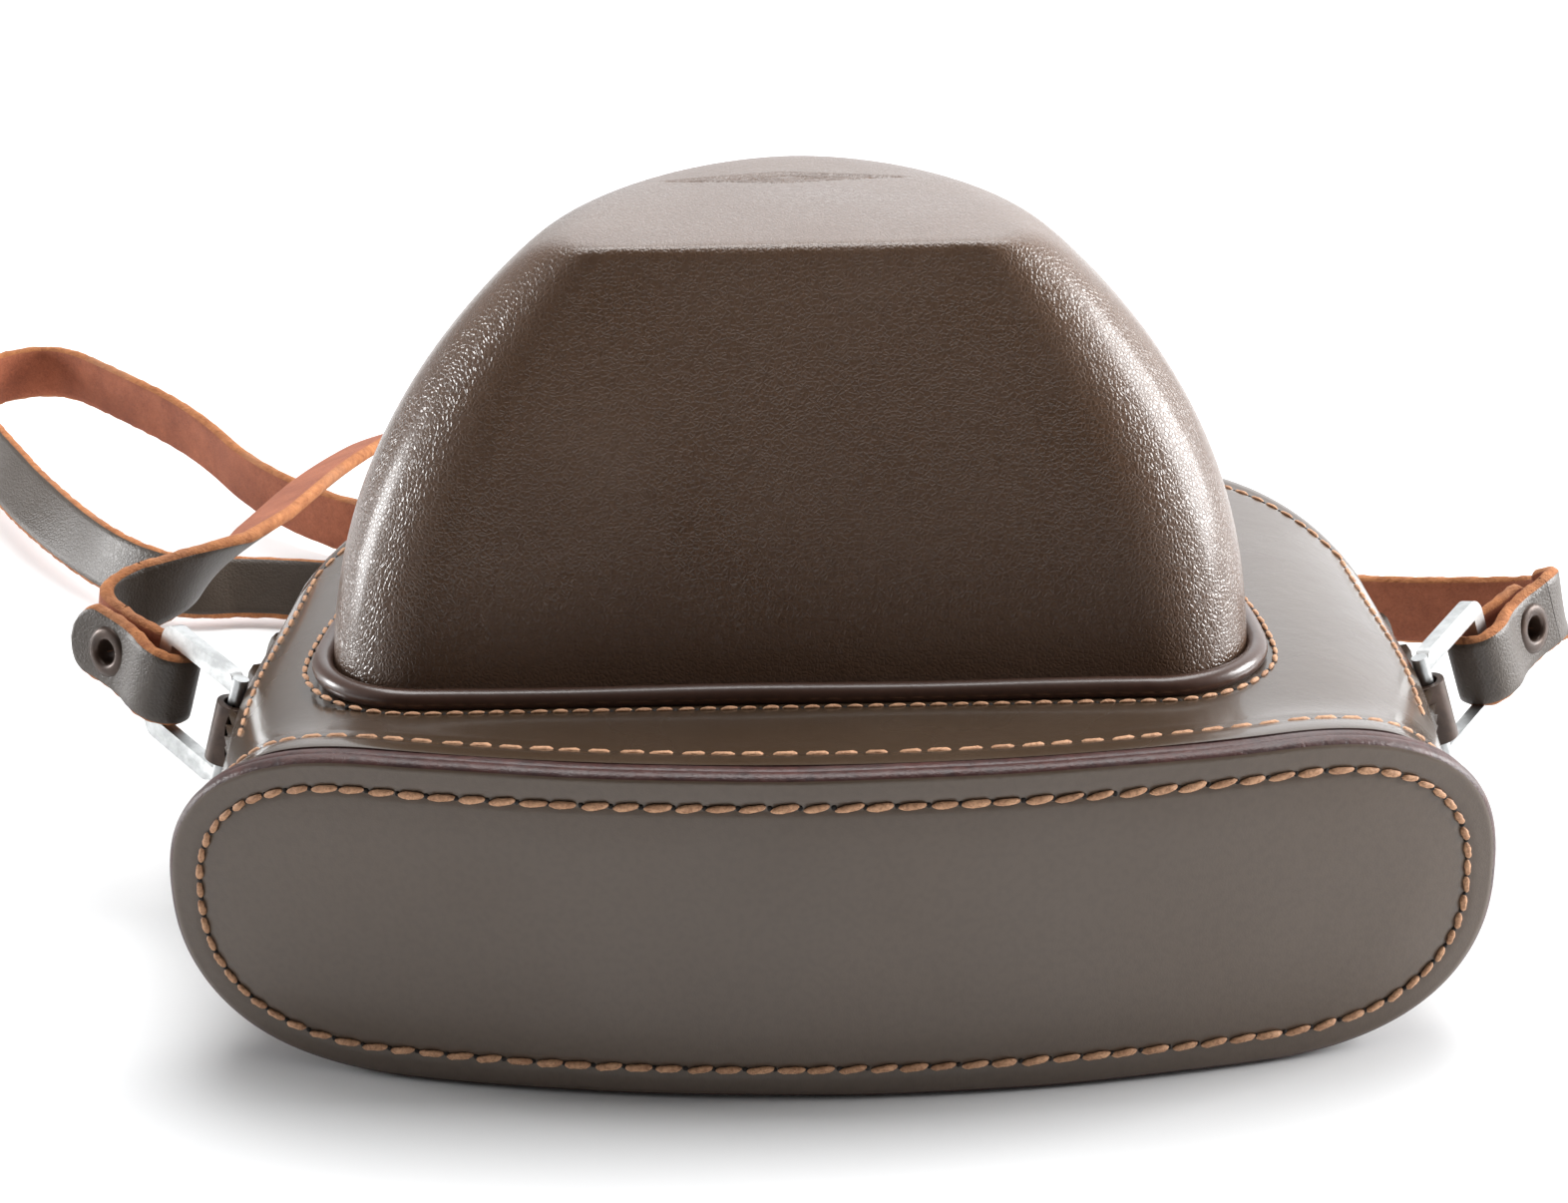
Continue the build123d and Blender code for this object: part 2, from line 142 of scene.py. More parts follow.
def blend_colors(tree, kind, factor, first, second):
    node = tree.nodes.new("ShaderNodeMix")
    node.data_type = "RGBA"
    node.blend_type = kind
    if isinstance(factor, float):
        node.inputs["Factor"].default_value = factor
    else:
        tree.links.new(factor, node.inputs["Factor"])
    for socket, color in ((node.inputs[6], first), (node.inputs[7], second)):
        if isinstance(color, tuple):
            socket.default_value = (*color, 1)
        else:
            tree.links.new(color, socket)
    return node.outputs[2]


def add_bump(tree, shader, heights):
    """heights is a list of (value, strength, distance in metres)."""
    normal = None
    for value, strength, distance in heights:
        node = tree.nodes.new("ShaderNodeBump")
        node.inputs["Strength"].default_value = strength
        node.inputs["Distance"].default_value = distance
        tree.links.new(value, node.inputs["Height"])
        if normal is not None:
            tree.links.new(normal, node.inputs["Normal"])
        normal = node.outputs["Normal"]
    tree.links.new(normal, shader.inputs["Normal"])


def leather(name, dark, light, rough, grain, depth, coat=0.3, coat_rough=0.2):
    """Finished leather: mottled colour, a fine pebbled grain of that many cells a metre."""
    material, tree, shader, place = new_material(name)
    mottle = noise(tree, place, 28, 2, 0.5, 0.4)
    fine = noise(tree, place, grain * 0.5, 0.5, 0.5)
    color = ramp(tree, mottle, [(0.12, dark), (0.88, light)])
    pits = ramp(tree, fine, [(0.3, (0.78, 0.78, 0.78)), (0.6, (1, 1, 1))])
    color = blend_colors(tree, "MULTIPLY", 0.35, color, pits)
    tree.links.new(color, shader.inputs["Base Color"])
    patches = noise(tree, place, 60, 1.5, 0.5)
    uneven = spread(tree, patches, 0.1, 0.9, rough - 0.08, rough + 0.12)
    tree.links.new(uneven, shader.inputs["Roughness"])
    shader.inputs["Specular IOR Level"].default_value = 0.5
    shader.inputs["Coat Weight"].default_value = coat
    shader.inputs["Coat Roughness"].default_value = coat_rough
    pebble = cells(tree, place, grain, "DISTANCE_TO_EDGE")
    crease = spread(tree, pebble, 0.0, 0.25, 0.0, 1.0)
    sway = noise(tree, place, 220, 3)
    add_bump(tree, shader, [(crease, depth, 0.00012), (fine, depth * 0.8, 0.00015), (sway, 0.12, 0.0006)])
    return material


def edge_leather(name, dark, light, rough, fuzz):
    """A cut edge: streaks along the layers, burnished or fuzzy, with light grey patches of painted
    highlight.
    """
    material, tree, shader, place = new_material(name)
    streak = noise(tree, place, 420, 6, 0.7, 0.6)
    blotch = noise(tree, place, 70, 3)
    color = ramp(tree, streak, [(0.3, dark), (0.7, light)])
    # light grey patches mixed in at random: a painted highlight, standing in for light grazing the cut edge
    dirt_and_sheen = spread(tree, blotch, 0.52, 0.72, 0.0, 0.5)
    sheen_grey = tuple(0.5 * a + 0.06 for a in light)
    color = blend_colors(tree, "MIX", dirt_and_sheen, color, sheen_grey)
    tree.links.new(color, shader.inputs["Base Color"])
    shader.inputs["Roughness"].default_value = rough
    add_bump(tree, shader, [(streak, fuzz, 0.0005), (noise(tree, place, 2600, 2), fuzz, 0.0002)])
    return material


def flesh_leather(name, dark, light):
    """The unfinished side: matt, fibrous, reddish."""
    material, tree, shader, place = new_material(name)
    fibre = noise(tree, place, 1500, 6, 0.75, 1.2)
    blotch = noise(tree, place, 90, 4, 0.6)
    color = ramp(tree, blotch, [(0.35, dark), (0.68, light)])
    lint = ramp(tree, fibre, [(0.35, (0.7, 0.66, 0.64)), (0.65, (1.1, 1.08, 1.05))])
    color = blend_colors(tree, "MULTIPLY", 0.9, color, lint)
    tree.links.new(color, shader.inputs["Base Color"])
    shader.inputs["Roughness"].default_value = 0.82
    add_bump(tree, shader, [(fibre, 0.5, 0.0003)])
    return material


def metal(name, color, rough, spots, base=1.0):
    """Plated or lacquered metal with uneven dull patches."""
    material, tree, shader, place = new_material(name)
    patch = noise(tree, place, 350, 5, 0.65)
    fine = noise(tree, place, 1800, 3)
    dull = tuple(c * spots for c in color)
    tree.links.new(ramp(tree, patch, [(0.38, dull), (0.6, color)]), shader.inputs["Base Color"])
    shader.inputs["Metallic"].default_value = base
    tree.links.new(spread(tree, patch, 0.3, 0.7, rough + 0.14, rough), shader.inputs["Roughness"])
    add_bump(tree, shader, [(fine, 0.15, 0.0001)])
    return material


def thread_material():
    material, tree, shader, place = new_material("linen_thread")
    strand = noise(tree, place, 2200, 3, 0.6, 0.8)
    # in the thread this noise marks only dirt
    dirt_and_sheen = noise(tree, place, 240, 3)
    color = ramp(tree, strand, [(0.3, (0.36, 0.17, 0.085)), (0.6, (0.66, 0.37, 0.21))])
    dirt = ramp(tree, dirt_and_sheen, [(0.3, (0.74, 0.7, 0.67)), (0.55, (1, 1, 1))])
    tree.links.new(blend_colors(tree, "MULTIPLY", 0.9, color, dirt), shader.inputs["Base Color"])
    shader.inputs["Roughness"].default_value = 0.62
    add_bump(tree, shader, [(strand, 0.6, 0.0002)])
    return material


def velvet(name, dark, light):
    material, tree, shader, place = new_material(name)
    pile = noise(tree, place, 1200, 4, 0.7)
    tree.links.new(ramp(tree, pile, [(0.3, dark), (0.7, light)]), shader.inputs["Base Color"])
    shader.inputs["Roughness"].default_value = 0.9
    shader.inputs["Sheen Weight"].default_value = 0.6
    add_bump(tree, shader, [(pile, 0.5, 0.0003)])
    return material


def plain_floor():
    material, tree, shader, place = new_material("floor_white")
    mist = noise(tree, place, 3, 2)
    color = ramp(tree, mist, [(0.3, (0.86, 0.865, 0.87)), (0.7, (0.88, 0.885, 0.89))])
    tree.links.new(color, shader.inputs["Base Color"])
    shader.inputs["Roughness"].default_value = 0.6
    return material


BOX_CALF = leather("box_calf", (0.05, 0.03, 0.018), (0.07, 0.045, 0.028), 0.24, 2600, 0.07, 0.5, 0.12)
PANEL_CALF = leather(
    "panel_calf", (0.083, 0.055, 0.036), (0.112, 0.077, 0.053), 0.36, 2600, 0.08, 0.25, 0.24
)
NOSE_HIDE = leather("nose_hide", (0.085, 0.042, 0.022), (0.145, 0.086, 0.055), 0.28, 1900, 0.42, 0.3, 0.2)
BEAD_HIDE = leather("bead_hide", (0.06, 0.029, 0.02), (0.085, 0.043, 0.03), 0.3, 2600, 0.05, 0.3, 0.15)
BURNT_EDGE = edge_leather("burnished_edge", (0.02, 0.006, 0.006), (0.08, 0.026, 0.021), 0.42, 0.35)
STRAP_GRAIN = leather(
    "strap_grain_side", (0.045, 0.032, 0.023), (0.075, 0.056, 0.042), 0.42, 1700, 0.25, 0.1, 0.3
)
STRAP_FLESH = flesh_leather("strap_flesh_side", (0.26, 0.075, 0.034), (0.4, 0.13, 0.062))
STRAP_EDGE = edge_leather("strap_cut_edge", (0.25, 0.075, 0.02), (0.5, 0.2, 0.07), 0.85, 0.9)
THREAD = thread_material()
HOLE_DARK = edge_leather("stitch_hole", (0.006, 0.004, 0.003), (0.014, 0.009, 0.007), 0.8, 0.2)
RING_METAL = metal("zinc_plate", (0.5, 0.51, 0.51), 0.34, 0.7)
LACQUER = metal("brown_lacquer", (0.075, 0.045, 0.032), 0.3, 0.6, 0.4)
NICKEL = metal("nickel_plate", (0.72, 0.7, 0.66), 0.18, 0.75)
BRASS = metal("plain_brass", (0.6, 0.43, 0.2), 0.28, 0.7)
VELVET = velvet("red_brown_velvet", (0.09, 0.02, 0.016), (0.16, 0.045, 0.035))

# ---- mesh helpers ----


def add_object(name, points, faces, materials, indices=None, smooth=True):
    """A mesh object from points in millimetres."""
    mesh = bpy.data.meshes.new(name)
    mesh.from_pydata((np.asarray(points, float) * MM).tolist(), [], [list(map(int, f)) for f in faces])
    for material in materials:
        mesh.materials.append(material)
    if indices is not None:
        mesh.polygons.foreach_set("material_index", np.asarray(indices, np.int32))
    mesh.polygons.foreach_set("use_smooth", np.full(len(mesh.polygons), smooth))
    mesh.validate()
    mesh.update()
    obj = bpy.data.objects.new(name, mesh)
    bpy.context.scene.collection.objects.link(obj)
    return obj


def grid_faces(rows, columns, wrap_columns=False, wrap_rows=False):
    faces = []
    for i in range(rows if wrap_rows else rows - 1):
        for j in range(columns if wrap_columns else columns - 1):
            a, b = i % rows, (i + 1) % rows
            c, d = j % columns, (j + 1) % columns
            faces.append((a * columns + c, a * columns + d, b * columns + d, b * columns + c))
    return faces


def recalc_normals(obj, merge=0.0):
    """Turns the faces of a closed piece outwards, and joins points nearer than merge metres."""
    work = bmesh.new()
    work.from_mesh(obj.data)
    if merge:
        bmesh.ops.remove_doubles(work, verts=work.verts, dist=merge)
    bmesh.ops.recalc_face_normals(work, faces=work.faces)
    work.to_mesh(obj.data)
    work.free()


def face_out(obj, inside):
    """Turns the faces away from a point inside."""
    mesh = obj.data
    normals = np.zeros(len(mesh.polygons) * 3)
    centres = np.zeros(len(mesh.polygons) * 3)
    mesh.polygons.foreach_get("normal", normals)
    mesh.polygons.foreach_get("center", centres)
    away = centres.reshape(-1, 3) - np.array(inside) * MM
    if (normals.reshape(-1, 3) * away).sum() < 0:
        mesh.flip_normals()


def apply_modifiers(obj):
    depsgraph = bpy.context.evaluated_depsgraph_get()
    mesh = bpy.data.meshes.new_from_object(obj.evaluated_get(depsgraph))
    obj.modifiers.clear()
    obj.data = mesh


def thicken(obj, amount, rim_material=1, bevel=0.35):
    solid = obj.modifiers.new("thickness", "SOLIDIFY")
    solid.thickness = amount * MM
    solid.offset = -1
    solid.material_offset_rim = rim_material
    solid.use_even_offset = True
    if bevel:
        round_edges(obj, bevel, 50)


def round_edges(obj, width, angle=35, segments=3):
    bevel = obj.modifiers.new("rounded", "BEVEL")
    bevel.width = width * MM
    bevel.segments = segments
    bevel.limit_method = "ANGLE"
    bevel.angle_limit = radians(angle)
    bevel.harden_normals = False


def bow_y(x, depth):
    """The curved layer boundary of the top panel, depth inside its outer face."""
    return TOP_Y + BOW_R - np.sqrt((BOW_R - depth) ** 2 - np.asarray(x) ** 2)


def slot_loop(half, tall, middle, end, power, count, crowd=None):
    """A closed rounded section as x and z: straight sides, superelliptic ends."""
    t = np.linspace(-pi / 2, 3 * pi / 2, 4001)
    c, s = np.cos(t), np.sin(t)
    x = np.sign(c) * ((half - end) * (np.abs(c) > 1e-9) + end * np.abs(c) ** (2 / power))
    z = middle + tall * np.sign(s) * np.abs(s) ** (2 / power)
    step = np.hypot(np.diff(x), np.diff(z))
    weight = step.copy()
    if crowd is not None:
        weight = step * crowd(0.5 * (x[1:] + x[:-1]), 0.5 * (z[1:] + z[:-1]))
    along = np.concatenate([[0], np.cumsum(weight)])
    at = np.linspace(0, along[-1], count, endpoint=False)
    length = np.concatenate([[0], np.cumsum(step)])
    return np.interp(at, along, x), np.interp(at, along, z), np.interp(at, along, length), length[-1]


def smooth_step(low, high, value):
    """From 0 at low to 1 at high, level at both."""
    t = np.clip((value - low) / (high - low), 0, 1)
    return t * t * (3 - 2 * t)


def cad_copy(node, name, material, body, bevel, slot):
    """A piece with the shape of a CAD node, its edges rounded."""
    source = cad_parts[node]
    mesh = source.data.copy()
    mesh.materials.clear()
    mesh.materials.append(material)
    obj = bpy.data.objects.new(name, mesh)
    bpy.context.scene.collection.objects.link(obj)
    work = bmesh.new()
    work.from_mesh(mesh)
    bmesh.ops.remove_doubles(work, verts=work.verts, dist=1e-6)
    bmesh.ops.dissolve_limit(work, angle_limit=radians(1), verts=work.verts, edges=work.edges)
    for face in work.faces:
        face.smooth = True
    work.to_mesh(mesh)
    work.free()
    round_edges(obj, bevel, 30, 2)
    smooth_by_angle(obj)
    keep(obj, body, slot, node)
    return obj


def smooth_by_angle(obj):
    mesh = obj.data
    work = bmesh.new()
    work.from_mesh(mesh)
    for edge in work.edges:
        if len(edge.link_faces) == 2 and edge.calc_face_angle(0) > radians(40):
            edge.smooth = False
    work.to_mesh(mesh)
    work.free()


def soft_copy(node, name, materials, body, voxel, passes, slot):
    """A piece with the shape of a CAD node, its edges softened like moulded leather."""
    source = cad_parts[node]
    obj = bpy.data.objects.new(name, source.data.copy())
    obj.data.materials.clear()
    for material in materials:
        obj.data.materials.append(material)
    bpy.context.scene.collection.objects.link(obj)
    remesh = obj.modifiers.new("even", "REMESH")
    remesh.mode = "VOXEL"
    remesh.voxel_size = voxel * MM
    relax = obj.modifiers.new("relax", "SMOOTH")
    relax.factor = 0.5
    relax.iterations = passes
    apply_modifiers(obj)
    obj.data.polygons.foreach_set("use_smooth", np.ones(len(obj.data.polygons), bool))
    keep(obj, body, slot, node)
    return obj


def keep(obj, body, slot, *nodes):
    """Puts a piece on its body, in place of its CAD nodes; the slot is not used."""
    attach(obj, body)
    if nodes:
        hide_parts(*nodes)


# ---- the cover's outer surface, as a function of distance round the section and of y ----

SECTION_X, SECTION_Z, SECTION_S, SECTION_LENGTH = slot_loop(
    WALL_HALF, MID_Z - WALL_LOW, MID_Z, 25.0, 2.3, 620,
    lambda x, z: 1 + 5 * np.exp(-(((z - WING_Z) / 1.8) ** 2)),
)


def nose_ring(level, grow, count=NOSE_SIDES):
    """The nose's outline at a height, grown: straight near side, round far side."""
    h = np.clip((level - WALL_HIGH) / (NOSE_TOP - WALL_HIGH), 0, 1)
    half = NOSE_HALF * (1 - 0.475 * h**2.25) + grow
    near = NOSE_NEAR + 12.8 * h - grow
    far = NOSE_FAR - 8.5 * h**2.2 + grow
    corner = 12 + 2.5 * np.sin(pi * h) - 4.5 * h**3 + grow
    middle = NOSE_X + 1.2 * h
    turn = np.linspace(-pi / 2, 0, 60)
    arc_x = middle + half - corner + corner * np.cos(turn)
    arc_y = near + corner + corner * np.sin(turn)
    sweep = np.linspace(0, pi, 200)[1:]
    power = 2 / (2.15 - 0.3 * h**2)
    far_x = middle + half * np.sign(np.cos(sweep)) * np.abs(np.cos(sweep)) ** power
    far_y = near + corner + (far - near - corner) * np.abs(np.sin(sweep)) ** power
    x = np.concatenate([arc_x, far_x, (2 * middle - arc_x[::-1])[1:], arc_x[:1]])
    y = np.concatenate([arc_y, far_y, arc_y[::-1][1:], arc_y[:1]])
    step = np.hypot(np.diff(x), np.diff(y))
    along = np.concatenate([[0], np.cumsum(step)])
    at = np.linspace(0, along[-1], count, endpoint=False)
    return np.interp(at, along, x), np.interp(at, along, y)


def hump(value, middle, width):
    """A smooth bump of height one."""
    return np.exp(-(((value - middle) / width) ** 2))


def section_at(s):
    """The cover's section, as x and z, at a distance s round it."""
    around = np.append(SECTION_S, SECTION_LENGTH)
    x = np.interp(s % SECTION_LENGTH, around, np.append(SECTION_X, SECTION_X[0]))
    z = np.interp(s % SECTION_LENGTH, around, np.append(SECTION_Z, SECTION_Z[0]))
    return x, z


def cover_point(s, y):
    """Points of the cover's outer face in millimetres."""
    x, z = section_at(s)
    rim = bow_y(x, 2 * LAYER)
    from_rim = y - rim
    top = smooth_step(MID_Z + 6, WALL_HIGH - 1, z)
    side = smooth_step(WALL_HALF - 14, WALL_HALF - 2, np.abs(x))
    narrow = 1.4 * hump(from_rim, 0, 16) - 0.9 * hump(y, -4, 15) * hump(z, 31, 6)
    x = x - np.sign(x) * side * narrow
    z = z + top * (1.5 * hump(from_rim, 0, 6) - 0.3 * hump(from_rim, WALL_STITCH_INSET, 0.7))
    z = z - top * 0.3 * hump(flap_end(s) - y, 3, 0.7)
    return np.stack([x, y, z], axis=-1)


def flap_end(s):
    """Where the cover's leather ends, away from the top panel."""
    x, z = section_at(s)
    past = np.clip(np.abs(x) - (WALL_HALF - CORNER_R), 0, CORNER_R)
    shield = np.minimum(BASE_Y - 0.2, CORNER_Y + np.sqrt(CORNER_R**2 - past**2))
    return COLLAR_Y + (shield - COLLAR_Y) * smooth_step(WING_Z - 1.6, WING_Z + 1.0, z)


def make_cover():
    """One sheet round the section, cut away where the nose comes through."""
    rows = 90
    s = SECTION_S
    start = bow_y(SECTION_X, 2 * LAYER) + 0.05
    end = flap_end(s)
    share = np.linspace(0, 1, rows)[:, None]
    y = start + (end - start) * share
    points = cover_point(np.broadcast_to(s, y.shape), y)
    faces = grid_faces(rows, len(s), wrap_columns=True)
    flat = points.reshape(-1, 3)
    hole_x, hole_y = nose_ring(WALL_HIGH, -1.1)
    open_faces = []
    for face in faces:
        centre = flat[list(face)].mean(axis=0)
        if centre[2] > MID_Z + 8 and inside_ring(centre[0], centre[1], hole_x, hole_y):
            continue
        open_faces.append(face)
    obj = add_object("cover_leather", flat, open_faces, [BOX_CALF, BURNT_EDGE])
    face_out(obj, (0, -10, MID_Z))
    thicken(obj, LEATHER, 1, 0.4)
    keep(obj, "cover", "case_leather", "cover_wall")


def inside_ring(x, y, ring_x, ring_y):
    """Whether a point is inside a closed ring: a line from it crosses the ring an odd number of times."""
    nx, ny = np.roll(ring_x, -1), np.roll(ring_y, -1)
    crosses = (ring_y > y) != (ny > y)
    at = ring_x + (y - ring_y) / np.where(ny == ring_y, 1e-9, ny - ring_y) * (nx - ring_x)
    return bool((crosses & (x < at)).sum() % 2)


# ---- the top panel's two layers ----

SPINE = 47.0  # half the panel's middle line, which its outline is moved in towards
DEEPEST = 19.75  # the innermost inset of a layer's faces
PANEL_X, PANEL_Z = slot_loop(RIM_HALF, RIM_HEIGHT / 2, RIM_HEIGHT / 2, 27.0, 2.4, 420)[:2]


def panel_inset(x, z, inset):
    """Moves outline points in towards the panel's middle line, all of them reaching it together."""
    spine_x = np.clip(x, -SPINE, SPINE)
    away = np.hypot(x - spine_x, z - RIM_HEIGHT / 2)
    reach = (inset / (RIM_HEIGHT / 2)) ** 3
    f = np.minimum(inset / away * (1 - reach) + reach, 1)
    return x + (spine_x - x) * f, z + (RIM_HEIGHT / 2 - z) * f


def rim_wave(x, z):
    """The hand-cut rim isn't quite even."""
    return 0.22 * np.sin(x / 9.0 + z / 7.0) + 0.14 * np.sin(x / 3.7 - z / 5.0 + 1)


def make_layer(name, node, profile, materials, slot):
    """profile lists (inset, depth, material) from the front's middle round the edge to the back."""
    rings, kinds = [], []
    for inset, depth, kind in profile:
        x, z = panel_inset(PANEL_X, PANEL_Z, inset - 0.25 * (inset < 1) * rim_wave(PANEL_X, PANEL_Z))
        rings.append(np.stack([x, bow_y(x, 0) + depth, z], axis=-1))
        kinds.append(kind)
    count = len(PANEL_X)
    faces = grid_faces(len(rings), count, wrap_columns=True)
    indices = np.repeat(kinds[1:], count)
    obj = add_object(name, np.concatenate(rings), faces, materials, indices)
    recalc_normals(obj, 2e-5)
    keep(obj, "cover", slot, node)


def make_panel():
    """Two layers, each a profile from the front's middle round the cut edge to the back's middle."""
    front = []
    insets = (
        DEEPEST, 17, 14, 11.5, 9.5, 8, 6.8, 5.9, 5.2, 4.7,
        4.3, 4.0, 3.6, 3.2, 2.9, 2.5, 2.1, 1.6, 1.1, 0.8,
    )
    for inset in insets:
        groove = 0.22 * hump(inset, STITCH_INSET, 0.55)
        pillow = 0.28 * smooth_step(3.6, 8, inset)
        front.append((inset, 0.3 + groove - pillow, 0))
    edge = [
        (0.5, 0.42, 0), (0.25, 0.6, 1), (0.08, 0.9, 1), (0.0, 1.3, 1),
        (0.02, 1.8, 1), (0.12, 2.1, 1), (0.4, 2.3, 1), (0.9, 2.38, 1),
    ]
    back = [(6, LAYER, 0), (14, LAYER, 0), (DEEPEST, LAYER, 0)]
    materials = [PANEL_CALF, BURNT_EDGE]
    make_layer("top_panel_leather", "top_panel", front + edge + back, materials, "case_leather")
    front = [(DEEPEST, 2.44, 0), (14, 2.44, 0), (6, 2.44, 0)]
    edge = [
        (1.2, 2.44, 1), (0.75, 2.5, 1), (0.45, 2.75, 1), (0.35, 3.2, 1),
        (0.4, 3.9, 1), (0.6, 4.4, 1), (0.95, 4.7, 1), (1.4, 2 * LAYER, 1),
    ]
    back = [(2.6, 2 * LAYER, 0), (6, 2 * LAYER, 0), (14, 2 * LAYER, 0), (DEEPEST, 2 * LAYER, 0)]
    make_layer("panel_second_layer", "panel_board", front + edge + back, materials, "edge_leather")


# ---- stitches ----


def turned(first, second, angle):
    """Two directions at right angles, both turned from the first towards the second."""
    c, s = np.cos(angle), np.sin(angle)
    return c * first + s * second, c * second - s * first


def stitches(name, path, normals, pitch, long, fat, body, closed, lean=6.0, pitch_at=None):
    """A row of single stitches along a path, each a soft slanting bead of thread between two dark holes."""
    path, normals = np.asarray(path, float), np.asarray(normals, float)
    if closed:
        path, normals = np.vstack([path, path[:1]]), np.vstack([normals, normals[:1]])
    along = np.concatenate([[0], np.cumsum(np.linalg.norm(np.diff(path, axis=0), axis=1))])
    scale = np.ones(len(path)) if pitch_at is None else pitch_at(path)
    steps = 0.5 * (1 / scale[1:] + 1 / scale[:-1]) * np.diff(along) / pitch
    number_at = np.concatenate([[0], np.cumsum(steps)])
    count = max(2, round(number_at[-1]))
    points, faces, kinds = [], [], []
    sides, levels = 8, (-1, -0.97, -0.86, -0.6, -0.2, 0.2, 0.6, 0.86, 0.97, 1)

    def add_bead(here, forward, across, up, half, radius, height, twist, kind):
        start = len(points)
        for level in levels:
            swell = radius * max(0.1, 1 - abs(level) ** 3.2) ** 0.5
            middle = here + forward * (level * half) + up * (height - 0.35 * level**4 * radius)
            for side in range(sides):
                turn = 2 * pi * side / sides
                rope = 1 + 0.13 * sin(2 * turn + twist * level)
                sideways, upwards = swell * rope * cos(turn), swell * rope * 0.75 * sin(turn)
                points.append(middle + across * sideways + up * upwards)
        for i in range(len(levels) - 1):
            for j in range(sides):
                k = (j + 1) % sides
                a, b = start + i * sides, start + (i + 1) * sides
                faces.append((a + j, a + k, b + k, b + j))
                kinds.append(kind)
        faces.append(tuple(start + j for j in range(sides))[::-1])
        faces.append(tuple(start + (len(levels) - 1) * sides + j for j in range(sides)))
        kinds.extend([kind, kind])

    for number in range(count):
        for offset, kind in ((0.5, 0), (0.0, 1)):
            order = (number + offset + random.uniform(-0.05, 0.05)) * number_at[-1] / count
            at = np.clip(np.interp(order, number_at, along), 0.2, along[-1] - 0.2)
            here, ahead, behind = (np.array([np.interp(a, along, path[:, k]) for k in range(3)])
                                   for a in (at, at + 0.6, at - 0.6))
            up = np.array([np.interp(at, along, normals[:, k]) for k in range(3)])
            forward = (ahead - behind) / np.linalg.norm(ahead - behind)
            up = up - forward * (up @ forward)
            up /= np.linalg.norm(up)
            across = np.cross(up, forward)
            angle = radians(lean + random.uniform(-5, 5))
            forward, across = turned(forward, across, angle)
            local = float(np.interp(at, along, scale))
            if kind == 0:
                half = 0.5 * long * local * random.uniform(0.93, 1.07)
                wide = fat * random.uniform(0.9, 1.12) * local**0.3
                add_bead(here, forward, across, up, half, wide, 0.1, random.uniform(4, 6), 0)
            else:
                add_bead(here, forward, across, up, 0.3, 0.3, -0.12, 0, 1)
    obj = add_object(name, points, faces, [THREAD, HOLE_DARK], kinds)
    recalc_normals(obj)
    keep(obj, body, None)
    return obj


def tighter_at_ends(path):
    """The stitches get closer round the ends."""
    return 1 - 0.34 * smooth_step(RIM_HALF - 20, RIM_HALF - 8, np.abs(path[:, 0]))


def surface_normals(path, nearby_a, nearby_b, outward):
    """Unit normals from two nearby lines of surface points, turned to the outward side."""
    normal = np.cross(nearby_a - path, nearby_b - path)
    normal /= np.linalg.norm(normal, axis=1)[:, None]
    flip = np.sign((normal * outward).sum(axis=1))
    return normal * np.where(flip == 0, 1, flip)[:, None]


def make_stitches():
    x, z = panel_inset(PANEL_X, PANEL_Z, STITCH_INSET)
    path = np.stack([x, bow_y(x, 0) + 0.3, z], axis=-1)
    normals = np.tile([0, -1.0, 0], (len(path), 1))
    stitches("panel_stitches", path, normals, PANEL_PITCH, 3.0, 0.43, "cover", True, 7, tighter_at_ends)

    s = np.linspace(0, SECTION_LENGTH, 500, endpoint=False)
    x_of = cover_point(s, np.zeros_like(s))[:, 0]
    y = bow_y(x_of, 2 * LAYER) + WALL_STITCH_INSET
    path = cover_point(s, y)
    out = path * [0.3, 0, 1] - [0, 0, MID_Z]
    normals = surface_normals(path, cover_point(s + 0.5, y), cover_point(s, y + 0.5), out)
    stitches("wall_stitches", path, normals, PANEL_PITCH, 2.7, 0.38, "cover", True, 4, tighter_at_ends)

    ring_x, ring_y = nose_ring(WALL_HIGH, 3.3, 400)
    path = np.stack([ring_x, ring_y, np.full_like(ring_x, WALL_HIGH + 0.02)], axis=-1)
    normals = np.tile([0, 0, 1.0], (len(path), 1))
    stitches("bead_stitches", path, normals, BEAD_PITCH, 1.85, 0.3, "cover", True, 5)

    s = np.linspace(0, SECTION_LENGTH, 2400)
    end = flap_end(s)
    upper = np.flatnonzero(cover_point(s, end)[:, 2] > WING_Z - 1.2)
    s, end = s[upper], end[upper]
    slope_s, slope_y = np.gradient(s), np.gradient(end)
    size = np.hypot(slope_s, slope_y)
    inner_s = s + FLAP_STITCH_INSET * slope_y / size
    inner_y = end - FLAP_STITCH_INSET * slope_s / size
    clear = inner_y > -26
    inner_s, inner_y = inner_s[clear], inner_y[clear]
    order = np.argsort(inner_s)
    inner_s, inner_y = inner_s[order], inner_y[order]
    path = cover_point(inner_s, inner_y)
    out = path * [0.4, 0, 1] - [0, 0, MID_Z]
    beside, beyond = cover_point(inner_s + 0.4, inner_y), cover_point(inner_s, inner_y + 0.4)
    normals = surface_normals(path, beside, beyond, out)
    stitches("flap_stitches", path, normals, EDGE_PITCH, 2.0, 0.32, "cover", False, 5)


# ---- the nose, its bead and its lining ----


def ornament(x, y):
    """How deep the generic tooled ornament on the nose's front is: a plain double lozenge."""
    u = np.abs(x - NOSE_X) / 13.0
    v = np.abs(y - 17.0) / 2.6
    ring = u + v
    outer = np.exp(-(((ring - 1.0) / 0.13) ** 2))
    inner = np.exp(-(((ring - 0.45) / 0.16) ** 2))
    return 0.42 * outer + 0.3 * inner


